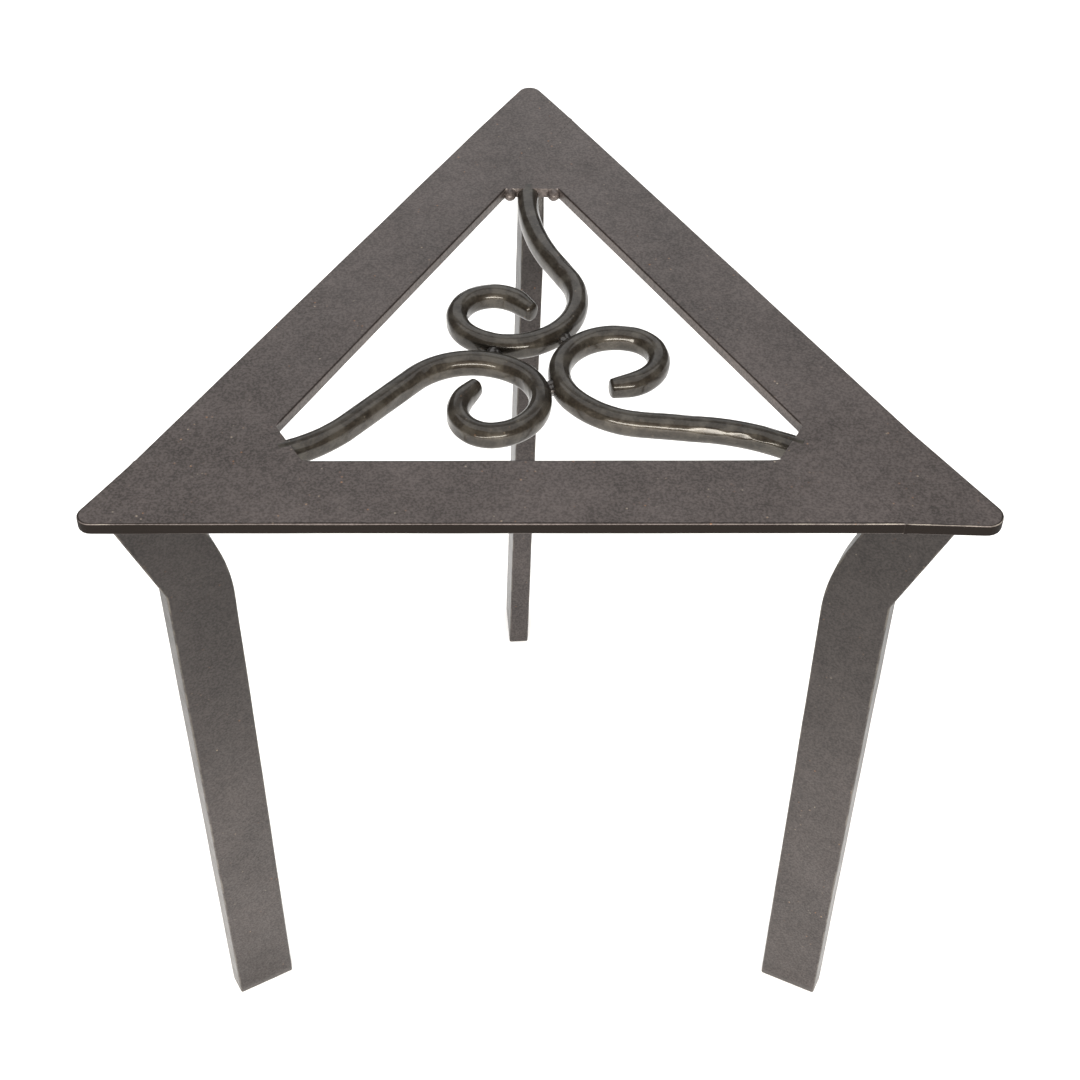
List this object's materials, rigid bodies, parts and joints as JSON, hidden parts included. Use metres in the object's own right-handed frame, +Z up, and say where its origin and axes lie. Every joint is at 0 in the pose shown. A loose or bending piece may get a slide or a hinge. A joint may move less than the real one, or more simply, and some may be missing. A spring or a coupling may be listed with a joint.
{
  "type": "three-legged trivet stand",
  "caption": "Tall three-legged wrought steel stand with a flat triangular top, forged scrolls inside the triangle and flat-bar legs cranked outward to its corners.",
  "frame": {"origin": "on the floor, under the middle of the top's bounding box", "axes": "+Z up; +Y toward the back corner of the triangle; the front bar lies along X"},
  "size_m": [0.3174, 0.2722, 0.314],
  "materials": {
    "bar_steel": "satin",
    "leg_steel": "satin",
    "forged_steel": "semi-gloss",
    "weld_steel": "semi-gloss"
  },
  "bodies": {
    "root": {"front_bar": "bar_steel", "right_bar": "bar_steel", "left_bar": "bar_steel", "left_corner_weld": "bar_steel", "right_corner_weld": "bar_steel", "back_corner_weld": "bar_steel", "left_leg": "leg_steel", "right_leg": "leg_steel", "back_leg": "leg_steel", "left_leg_weld": "weld_steel", "right_leg_weld": "weld_steel", "back_leg_weld": "weld_steel", "left_scroll": "forged_steel", "right_scroll": "forged_steel", "back_scroll": "forged_steel", "left_tail_weld": "weld_steel", "right_tail_weld": "weld_steel", "back_tail_weld": "weld_steel", "front_tack_weld": "weld_steel", "left_tack_weld": "weld_steel", "right_tack_weld": "weld_steel"}
  },
  "joints": []
}
